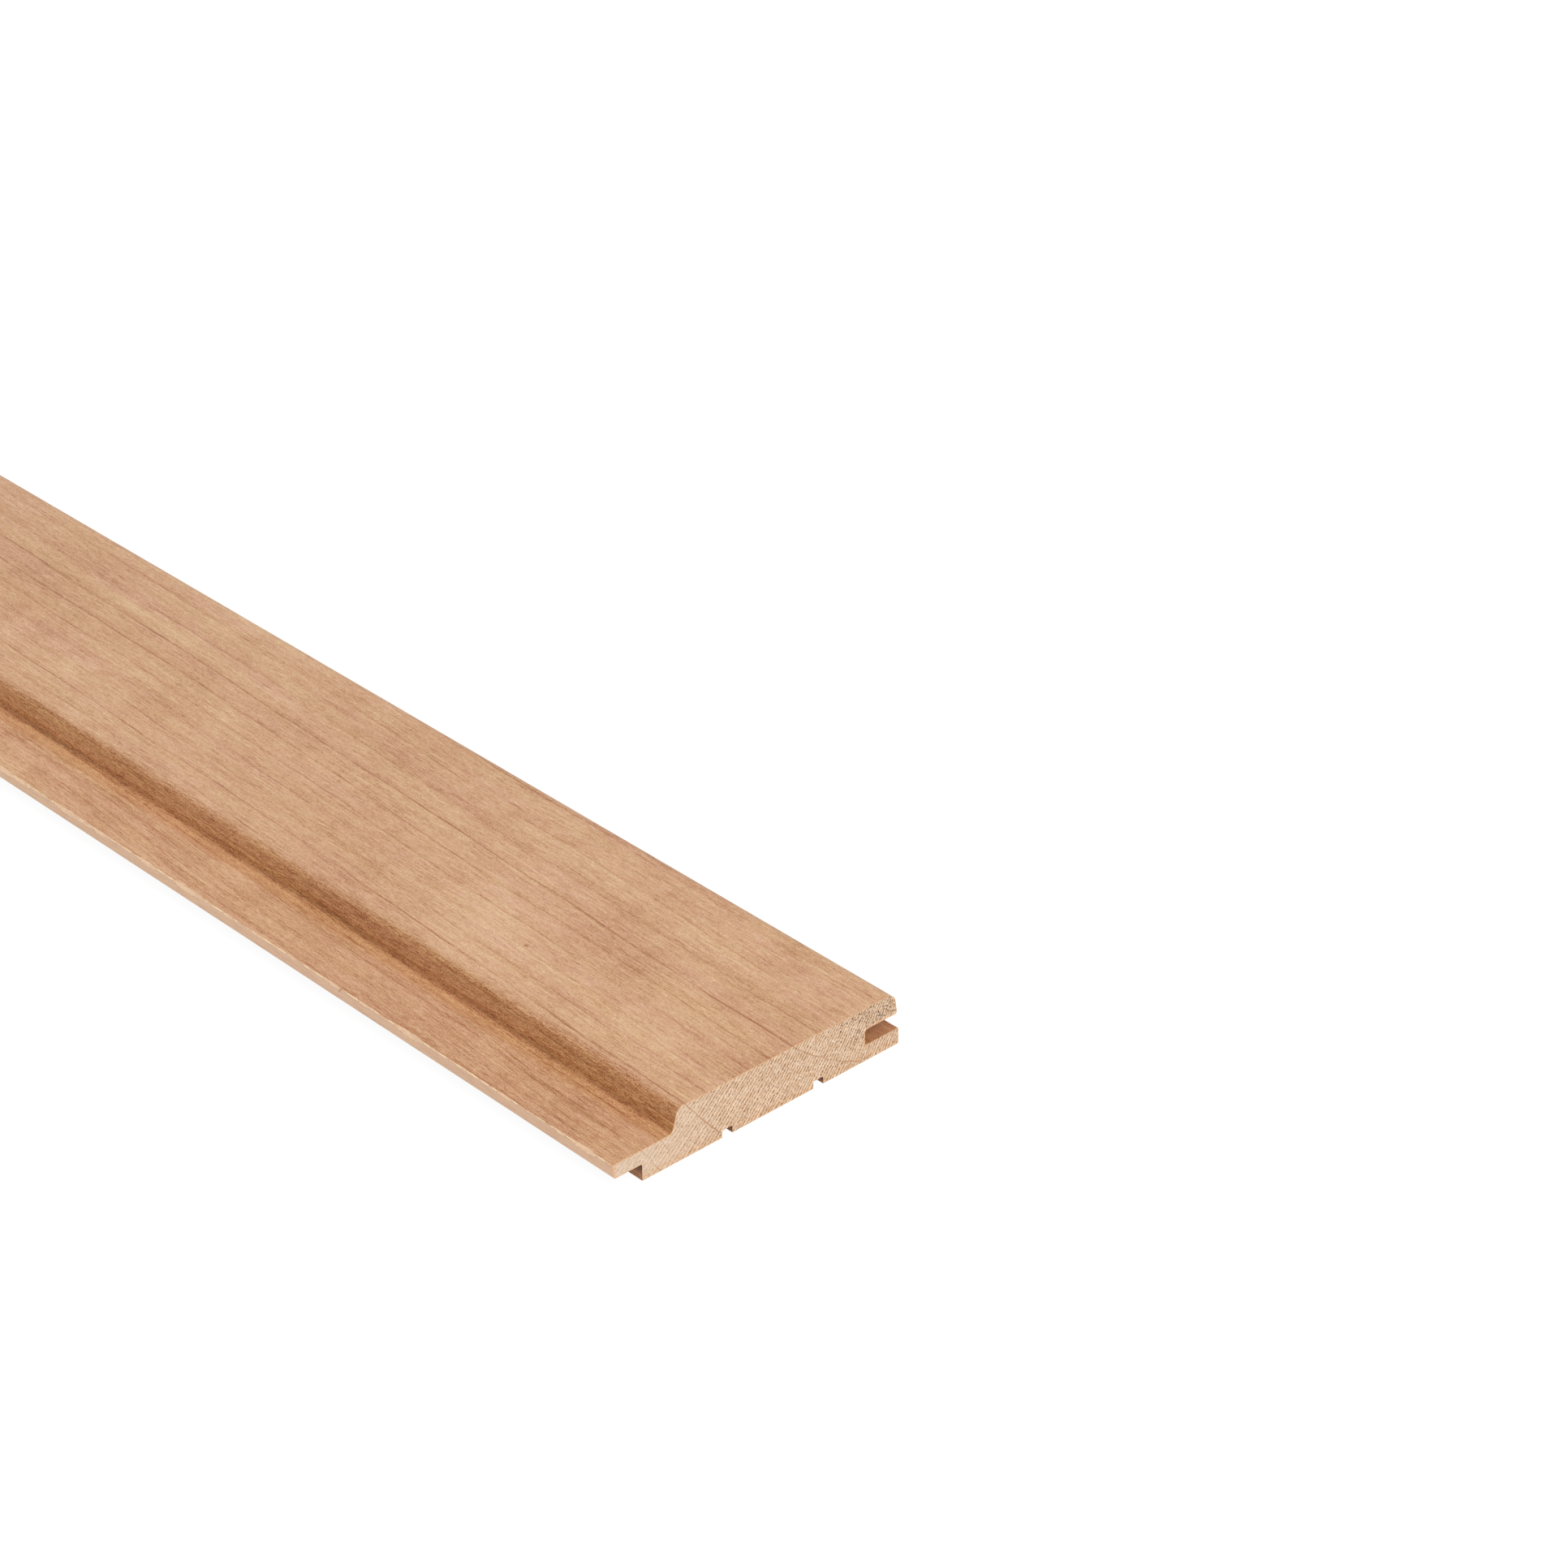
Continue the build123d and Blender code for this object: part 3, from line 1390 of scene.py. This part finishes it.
    def warm_strip(self, grain: Grain) -> Socket:
        """The strip of the low face beside the cove, which the cutter has warmed, from 0 to 1.

        Args:
            grain: the grain.

        Returns:
            The share at each point.
        """
        sheet, s = grain.sheet, self.section
        foot = (s.step_foot - s.width / 2) / MM
        wavy = sheet.scaled(sheet.grain(grain.stretched(1.2, 16.0, 1.2), 2.0), 1.6, -0.8)
        place = sheet.math("ADD", grain.x, wavy)
        rise = sheet.remap(place, foot - 5.0, foot - 3.0, 0.0, 1.0)
        high = sheet.math("GREATER_THAN", grain.z, s.low_face / MM - 0.5)
        beside = sheet.math("LESS_THAN", grain.x, foot + 0.5)
        return sheet.times(rise, sheet.times(high, beside))

    def glint(self, grain: Grain) -> Socket:
        """Golden flecks on the low face beside the cove, from 0 to 1.

        Args:
            grain: the grain.

        Returns:
            The share at each point.
        """
        sheet, s = grain.sheet, self.section
        foot = (s.step_foot - s.width / 2) / MM
        near = sheet.remap(sheet.apart(grain.x, foot - 1.9), 0.2, 1.1, 1.0, 0.0)
        flecks = sheet.remap(sheet.grain(grain.stretched(0.35, 1.1, 0.35), 2.0), 0.45, 0.66, 0.0, 1.0)
        high = sheet.math("GREATER_THAN", grain.z, s.low_face / MM - 0.5)
        return sheet.times(sheet.times(near, flecks), high)

    def recess(self, grain: Grain, boxes: list[Box]) -> Socket:
        """Whether a point lies in one of the recesses, which are given painted shade, as 0 or 1.

        Args:
            grain: the grain.
            boxes: each recess as left, right, bottom and top.

        Returns:
            1 in a recess and 0 elsewhere.
        """
        half, slack = self.section.width / 2 / MM, 0.05
        found = [
            grain.inside(
                left / MM - half - slack, right / MM - half + slack, low / MM - slack, high / MM + slack
            )
            for left, right, low, high in boxes
        ]
        return grain.sheet.sum(*found)

    def tip_shade(self, grain: Grain) -> Socket:
        """Where the paler wood of the tongue's tip shows, from 0 to 1.

        Args:
            grain: the grain.

        Returns:
            The share at each point.
        """
        sheet, s = grain.sheet, self.section
        edge = -s.width / 2 / MM
        tip = sheet.remap(grain.x, edge + 0.55, edge + 0.75, 1.0, 0.0)
        under = sheet.math("LESS_THAN", grain.z, s.low_face / MM - 0.06)
        return sheet.times(tip, under)

    def marks(self, grain: Grain) -> Socket:
        """A small dark speck on the face and a nick across the tongue's tip, from 0 to 1.

        Args:
            grain: the grain.

        Returns:
            The share at each point.
        """
        sheet, s = grain.sheet, self.section
        x, y, z = self.speck_place
        away = sheet.sum(
            sheet.apart(grain.x, x),
            sheet.times(sheet.apart(grain.y, y), 0.6),
            sheet.apart(grain.z, z),
        )
        speck = sheet.remap(away, 0.25, 0.55, 1.0, 0.0)
        along, up = self.nick_place
        lean = sheet.scaled(sheet.math("SUBTRACT", grain.z, up), -0.8, along)
        off = sheet.apart(grain.y, lean)
        tip = sheet.math("LESS_THAN", grain.x, -s.width / 2 / MM + 0.5)
        high = sheet.remap(grain.z, up - 0.9, up - 0.3, 0.0, 1.0)
        nick = sheet.times(sheet.remap(off, 0.1, 0.45, 0.55, 0.0), sheet.times(tip, high))
        return sheet.math("MAXIMUM", speck, nick)

    def painted_arris_highlight(self, grain: Grain) -> Socket:
        """The pale line along the tongue's upper arris: a painted highlight, partly the pale of frayed
        fibres, broken where it is worn, from 0 to 1.

        Args:
            grain: the grain.

        Returns:
            The share at each point.
        """
        sheet, s = grain.sheet, self.section
        across = sheet.math("SUBTRACT", grain.x, -s.width / 2 / MM)
        under = sheet.math("SUBTRACT", s.low_face / MM, grain.z)
        near = sheet.remap(sheet.math("ADD", across, under), 0.12, 0.36, 1.0, 0.0)
        broken = sheet.remap(sheet.grain(grain.stretched(3.0, 4.0, 3.0), 2.0), 0.38, 0.56, 0.2, 1.0)
        return sheet.times(near, broken)

    def make(self) -> bpy.types.Material:
        """Makes the material.

        Returns:
            The material.
        """
        sheet = NodeSheet("planed_alder")
        grain = Grain(sheet, self.rings)
        tone = self.tone(grain)
        stops = [(0.0, self.line), (0.25, self.dark), (0.5, self.body), (0.75, self.light), (1.0, self.pale)]
        colour = sheet.ramp(tone, stops)
        patches = sheet.grain(grain.with_rings(3.0, 60.0, 12.0), 2.0)
        flecks = sheet.grain(grain.stretched(0.5, 3.2, 0.5), 1.0)
        hue = sheet.remap(sheet.scaled(flecks, 0.8, patches), 0.70, 1.10, 0.0, 1.0)
        colour = sheet.tint(colour, sheet.blend(hue, self.rosy, self.golden))
        low_face = sheet.math("LESS_THAN", grain.z, self.section.low_face / MM + 0.5)
        colour = sheet.blend(low_face, colour, sheet.tint(colour, self.lower))
        rebates = self.section.waste
        groove, below = rebates[2:3], rebates[1:2] + rebates[4:]
        # Painted shade: the groove, the rebate under the tongue and the kerfs are darkened where shade falls
        # in them.
        painted_recess_shade = sheet.tint(colour, self.painted_recess_shade)
        colour = sheet.blend(self.recess(grain, groove + below), colour, painted_recess_shade)
        # Painted shade, darker further into the kerfs and the rebate under the tongue, towards their tops.
        painted_deep_shade = sheet.tint(colour, self.painted_deep_shade)
        in_kerf = self.recess(grain, rebates[4:])
        kerf_shade = sheet.times(in_kerf, sheet.remap(grain.z, 0.2, 1.6, 0.25, 1.0))
        in_rebate = self.recess(grain, rebates[1:2])
        rebate_shade = sheet.times(in_rebate, sheet.remap(grain.z, 0.5, 4.4, 0.1, 1.0))
        colour = sheet.blend(sheet.math("ADD", kerf_shade, rebate_shade), colour, painted_deep_shade)
        tip = self.tip_shade(grain)
        colour = sheet.blend(sheet.times(tip, 0.72), colour, self.fresh)
        torn = sheet.add("Attribute", attribute_name="torn").outputs["Fac"]
        shreds = sheet.remap(sheet.grain(grain.stretched(0.25, 1.6, 0.25), 2.0), 0.38, 0.62, 0.1, 0.95)
        scratched = sheet.remap(sheet.grain(grain.stretched(0.22, 7.0, 0.22), 2.0), 0.50, 0.68, 0.0, 0.45)
        specks = sheet.remap(sheet.grain(grain.stretched(0.30, 0.55, 0.30), 1.0), 0.66, 0.74, 0.0, 0.6)
        worn = sheet.times(tip, sheet.math("MAXIMUM", scratched, specks))
        colour = sheet.blend(worn, colour, self.dark)
        colour = sheet.blend(sheet.times(torn, shreds), colour, self.torn)
        started = sheet.remap(torn, 0.1, 0.35, 0.0, 1.0)
        brink = sheet.times(started, sheet.remap(torn, 0.4, 0.7, 0.7, 0.0))
        colour = sheet.blend(brink, colour, self.dark)
        # Painted highlight along the tongue's upper arris, partly the pale of frayed fibres.
        colour = sheet.blend(sheet.times(self.painted_arris_highlight(grain), 0.95), colour, self.highlight_cream)
        colour = sheet.blend(self.marks(grain), colour, self.line)
        colour = sheet.blend(self.warm_strip(grain), colour, sheet.tint(colour, self.warmed))
        burnt = sheet.tint(colour, self.burnt)
        colour = sheet.blend(self.step_shade(grain), colour, burnt)
        scorched = sheet.tint(colour, self.scorched)
        colour = sheet.blend(self.scorch(grain), colour, scorched)
        colour = sheet.blend(sheet.times(self.glint(grain), 0.6), colour, self.golden_fleck)
        sheet.feed(sheet.shader.inputs["Base Color"], colour)
        sheet.shader.inputs["Specular IOR Level"].default_value = self.specular
        rough = sheet.scaled(tone, 0.12, self.roughness - 0.06)
        sheet.feed(sheet.shader.inputs["Roughness"], rough)
        bump = sheet.add("Bump", 0.7, self.bump)
        sheet.feed(bump.inputs["Height"], tone)
        sheet.feed(sheet.shader.inputs["Normal"], bump.outputs[0])
        return sheet.material


@dataclass(frozen=True)
class SawnAlder:
    """The sawn ends: pale end grain with light rays, dark pores between them, faint rings and a warm rim."""

    rings: GrowthRings
    section: Section
    ashen: Colour = (0.700, 0.555, 0.430)
    pale: Colour = (0.870, 0.660, 0.485)
    body: Colour = (0.700, 0.470, 0.298)
    ray: Colour = (0.920, 0.710, 0.520)
    row: Colour = (0.350, 0.185, 0.088)
    pore: Colour = (0.190, 0.090, 0.042)
    hole: Colour = (0.110, 0.048, 0.020)
    warm: Colour = (0.720, 0.405, 0.195)
    ring: Colour = (0.450, 0.245, 0.128)
    roughness: float = 0.78
    specular: float = 0.15
    bump: float = 0.08 * MM

    def spotted(self, grain: Grain, along_ray: float, across_ray: float, detail: float) -> Socket:
        """Noise whose blotches follow the rays.

        Args:
            grain: the grain.
            along_ray: how long a blotch is along the rays, in millimetres.
            across_ray: how wide it is across them, in millimetres.
            detail: how many finer layers the noise has.

        Returns:
            The noise.
        """
        return grain.sheet.grain(self.ray_place(grain, along_ray, across_ray), detail, 0.6)

    def ray_place(self, grain: Grain, along_ray: float, across_ray: float) -> Socket:
        """The place along and across the rays, scaled so that one unit is so many millimetres each way.

        Args:
            grain: the grain.
            along_ray: millimetres to a unit along the rays.
            across_ray: millimetres to a unit across them.

        Returns:
            The scaled place.
        """
        sheet = grain.sheet
        return sheet.vector(
            sheet.math("DIVIDE", grain.ray_radius, along_ray),
            sheet.math("DIVIDE", grain.ray_arc, across_ray),
            sheet.math("DIVIDE", grain.y, 100.0),
        )

    def pits(self, grain: Grain, size: float, share: object, reach: float) -> Socket:
        """Round pits scattered between the rays, each with its own depth.

        Args:
            grain: the grain.
            size: the spacing of the places where a pit may be, in millimetres.
            share: the share of them that have one.
            reach: a pit's radius as a share of the spacing.

        Returns:
            How deep in a pit a point is, from 0 to 1.
        """
        sheet = grain.sheet
        cells = sheet.add("TexVoronoi", self.ray_place(grain, size * 1.25, size * 0.85), None, 1.0)
        chance = sheet.add("SeparateXYZ", cells.outputs["Color"]).outputs[0]
        kept = sheet.remap(sheet.math("SUBTRACT", share, chance), 0.0, 0.25, 0.0, 1.0)
        return sheet.times(sheet.remap(cells.outputs["Distance"], reach * 0.35, reach, 1.0, 0.0), kept)

    def make(self) -> bpy.types.Material:
        """Makes the material.

        Returns:
            The material.
        """
        sheet = NodeSheet("sawn_alder")
        grain = Grain(sheet, self.rings)
        drift = sheet.scaled(self.spotted(grain, 9.0, 3.0, 1.0), 1.3, -0.65)
        turns = sheet.scaled(grain.ray_arc, 1 / self.rings.ray_pitch, drift)
        wave = sheet.math("COSINE", sheet.times(turns, 2 * math.pi))
        side = sheet.remap(grain.x, -40.0, -4.0, 0.35, 1.0)
        lip = sheet.math(
            "MULTIPLY", sheet.remap(grain.x, 20.0, 34.0, 0.0, 1.0), sheet.remap(grain.z, 5.0, 9.0, 0.0, 1.0)
        )
        whole = sheet.remap(self.spotted(grain, 2.4, 1.0, 2.0), 0.34, 0.56, 0.35, 1.0)
        rays = sheet.times(sheet.remap(wave, 0.45, 1.0, 0.0, 1.0), whole)
        between = sheet.remap(wave, -0.9, 0.7, 1.0, 0.0)
        dashes = sheet.remap(self.spotted(grain, 0.75, 0.34, 2.0), 0.44, 0.60, 0.0, 1.0)
        blotch = sheet.remap(sheet.grain(grain.stretched(2.6, 1000.0, 2.0), 3.0, 0.7), 0.38, 0.62, 0.0, 1.0)
        ashes = sheet.remap(self.spotted(grain, 1.3, 0.9, 2.0), 0.45, 0.65, 0.0, 0.7)
        crumb = sheet.remap(self.spotted(grain, 0.45, 0.32, 2.0), 0.38, 0.70, 0.0, 1.0)
        dots = self.pits(grain, 0.46, sheet.scaled(side, 0.55, 0.05), 0.55)
        share = sheet.scaled(lip, 0.66, sheet.times(side, 0.15))
        holes = self.pits(grain, 0.62, share, 0.5)
        torn = sheet.add("Attribute", attribute_name="tear_depth").outputs["Fac"]
        rim = sheet.add("Attribute", attribute_name="rim_distance").outputs["Fac"]

        near_tip = sheet.remap(grain.x, -44.6, -43.2, 1.0, 0.0)
        firm = sheet.scaled(side, 0.85, 0.15)
        ground = sheet.blend(side, self.ashen, sheet.blend(blotch, self.pale, self.body))
        ground = sheet.blend(ashes, ground, self.ashen)
        ground = sheet.blend(sheet.remap(grain.z, 0.0, 3.5, 0.3, 0.0), ground, self.warm)
        rows = sheet.times(sheet.scaled(between, 0.7, 0.3), dashes)
        colour = sheet.blend(sheet.times(rows, firm), ground, self.row)
        colour = sheet.blend(sheet.times(crumb, sheet.times(firm, 0.6)), colour, self.row)
        colour = sheet.blend(sheet.times(sheet.times(rays, side), 0.8), colour, self.ray)
        colour = sheet.blend(sheet.times(grain.late_line(), 0.95), colour, self.ring)
        pores = sheet.times(dots, sheet.scaled(between, 0.6, 0.25))
        colour = sheet.blend(sheet.times(pores, sheet.times(side, 0.75)), colour, self.pore)
        deep = sheet.math("MAXIMUM", sheet.times(holes, 0.9), sheet.remap(torn, 0.5, 0.95, 0.0, 0.9))
        colour = sheet.blend(deep, colour, self.hole)
        fuzzy = sheet.scaled(sheet.grain(grain.stretched(0.6, 1000.0, 0.6), 1.0), 0.7, -0.35)
        width = sheet.scaled(near_tip, -0.5, rim)
        edge = sheet.remap(sheet.math("ADD", width, fuzzy), 0.0, 0.55, 0.75, 0.0)
        warmth = sheet.remap(grain.z, 2.0, 7.5, 0.3, 1.0)
        colour = sheet.blend(sheet.times(edge, warmth), colour, self.warm)
        sheet.feed(sheet.shader.inputs["Base Color"], colour)
        sheet.shader.inputs["Roughness"].default_value = self.roughness
        sheet.shader.inputs["Specular IOR Level"].default_value = self.specular
        bump = sheet.add("Bump", 0.8, self.bump)
        height = sheet.scaled(sheet.math("ADD", pores, deep), -1.0, sheet.times(rays, 0.3))
        sheet.feed(bump.inputs["Height"], height)
        sheet.feed(sheet.shader.inputs["Normal"], bump.outputs[0])
        return sheet.material


@dataclass(frozen=True)
class LiftedFibre:
    """Loose fibres: pale straw to orange, each a little different along the board."""

    straw: Colour = (0.80, 0.58, 0.36)
    orange: Colour = (0.66, 0.36, 0.17)
    roughness: float = 0.6

    def make(self) -> bpy.types.Material:
        """Makes the material.

        Returns:
            The material.
        """
        sheet = NodeSheet("lifted_fibre")
        place = sheet.add("TexCoord").outputs["Object"]
        scaled = sheet.add("Mapping", place, None, None, (1 / MM, 1 / MM, 1 / MM)).outputs[0]
        shade = sheet.remap(sheet.grain(scaled, 1.0), 0.35, 0.65, 0.0, 1.0)
        sheet.feed(sheet.shader.inputs["Base Color"], sheet.blend(shade, self.straw, self.orange))
        sheet.shader.inputs["Roughness"].default_value = self.roughness
        return sheet.material


@dataclass
class PanellingBoard:
    """The whole board: the moulded body, its sawn ends, its chipped arris and its loose fibres."""

    section: Section = field(default_factory=Section)
    rings: GrowthRings = field(default_factory=GrowthRings)
    smooth_angle: float = math.radians(30.0)

    def build(self) -> bpy.types.Object:
        """Models and dresses the board, and puts it in the place of the plain solid.

        Returns:
            The board.
        """
        piece = MouldedBlank(self.section).build()
        finishes = {
            Finish.PLANED: PlanedAlder(self.rings, self.section),
            Finish.SAWN: SawnAlder(self.rings, self.section),
            Finish.FIBRE: LiftedFibre(),
        }
        for finish in Finish:
            piece.data.materials.append(finishes[finish].make())
        ends = SawnEnds(self.section, self.rings)
        ends.grid(piece)
        TongueArris(self.section).build(piece)
        ends.carve(piece)
        select([piece], piece)
        bpy.ops.object.shade_smooth_by_angle(angle=self.smooth_angle)
        count = LooseFibres(self.section).build(piece)
        log.info("%s: %d faces, %d loose fibres", piece.name, len(piece.data.polygons), count)
        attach(piece, "root")
        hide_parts("panelling_board")
        return piece


@dataclass(frozen=True)
class Studio:
    """The floor, the soft light and the camera."""

    picture_side: float = 1932.0
    focal_pixels: float = 5790.5
    sensor: float = 36.0
    eye: Triple = (-556.24 * MM, -658.53 * MM, 631.30 * MM)
    yaw: float = math.radians(42.788)
    pitch: float = math.radians(31.231)
    roll: float = math.radians(0.230)
    floor_side: float = 60.0
    floor_white: Colour = (0.82, 0.82, 0.82)
    white_level: float = 1.06
    shadow_share: float = 0.13
    sky: float = 0.68
    key_power: float = 62.0
    key_side: float = 2.4
    key_place: Triple = (-0.9, -2.4, 2.0)
    key_target: Triple = (0.0, -0.8, 0.0)

    def camera(self, section: Section) -> None:
        """Sets the camera where the picture was taken from.

        Args:
            section: the board's section, whose near tongue tip the eye is measured from.
        """
        data = bpy.data.cameras.new("camera")
        data.sensor_width = self.sensor
        data.lens = self.focal_pixels / self.picture_side * self.sensor
        data.clip_start, data.clip_end = 0.01, 100.0
        camera = bpy.data.objects.new("camera", data)
        bpy.context.scene.collection.objects.link(camera)
        camera.location = section.place(0.0, 0.0, -section.length / 2) + Vector(self.eye)
        forward = Vector(
            (
                math.sin(self.yaw) * math.cos(self.pitch),
                math.cos(self.yaw) * math.cos(self.pitch),
                -math.sin(self.pitch),
            )
        )
        level = forward.to_track_quat("-Z", "Y").to_matrix().to_4x4()
        turn = level @ Matrix.Rotation(-self.roll, 4, "Z")
        camera.rotation_euler = turn.to_euler()
        bpy.context.scene.camera = camera

    def floor(self) -> bpy.types.Object:
        """Lays the floor, which looks white to the camera and keeps the board's shadow.

        Returns:
            The floor.
        """
        bpy.ops.object.select_all(action="DESELECT")
        bpy.ops.mesh.primitive_plane_add(size=self.floor_side, location=(0.0, 0.0, 0.0))
        floor = bpy.context.object
        floor.name = floor.data.name = "floor"
        sheet = NodeSheet("pale_floor")
        tree = sheet.tree
        tree.nodes.remove(sheet.shader)
        output = tree.nodes["Material Output"]
        seen = sheet.add("LightPath").outputs
        indirect = sheet.math("MAXIMUM", seen["Is Glossy Ray"], seen["Is Transmission Ray"])
        shown = sheet.math("MAXIMUM", seen["Is Camera Ray"], indirect)
        plain = sheet.add("BsdfDiffuse", (*self.floor_white, 1.0)).outputs[0]
        faint = sheet.add("BsdfDiffuse", (self.shadow_share,) * 3 + (1.0,)).outputs[0]
        glow = sheet.add("Emission", (1.0, 1.0, 1.0, 1.0), self.white_level - self.shadow_share).outputs[0]
        lit = sheet.add("AddShader", faint, glow).outputs[0]
        mixed = sheet.add("MixShader", shown, plain, lit).outputs[0]
        tree.links.new(mixed, output.inputs["Surface"])
        floor.data.materials.append(sheet.material)
        return floor

    def world(self) -> None:
        """Lights the scene evenly from all round, with a white background for the camera."""
        world = bpy.data.worlds.new("studio")
        bpy.context.scene.world = world
        world.use_nodes = True
        tree = world.node_tree
        background = tree.nodes["Background"]
        background.inputs["Color"].default_value = (1.0, 1.0, 1.0, 1.0)
        seen = tree.nodes.new("ShaderNodeLightPath").outputs["Is Camera Ray"]
        strength = tree.nodes.new("ShaderNodeMapRange")
        strength.inputs["To Min"].default_value = self.sky
        strength.inputs["To Max"].default_value = 1.0
        tree.links.new(seen, strength.inputs["Value"])
        tree.links.new(strength.outputs[0], background.inputs["Strength"])

    def key_light(self) -> None:
        """Hangs one large soft lamp over the near end."""
        data = bpy.data.lights.new("softbox", "AREA")
        data.shape = "SQUARE"
        data.size = self.key_side
        data.energy = self.key_power
        lamp = bpy.data.objects.new("softbox", data)
        bpy.context.scene.collection.objects.link(lamp)
        target = Vector(self.key_target)
        lamp.location = Vector(self.key_place) + target
        lamp.rotation_euler = (target - lamp.location).to_track_quat("-Z", "Y").to_euler()

    def build(self, section: Section) -> None:
        """Sets up the whole studio.

        Args:
            section: the board's section.
        """
        self.camera(section)
        self.floor()
        self.world()
        self.key_light()
        bpy.context.scene.view_settings.view_transform = "Standard"


def main() -> None:
    """Builds the board and the studio."""
    logging.basicConfig(level=logging.INFO, format="%(name)s: %(message)s")
    board = PanellingBoard()
    board.build()
    Studio().build(board.section)


if __name__ == "__main__":
    main()
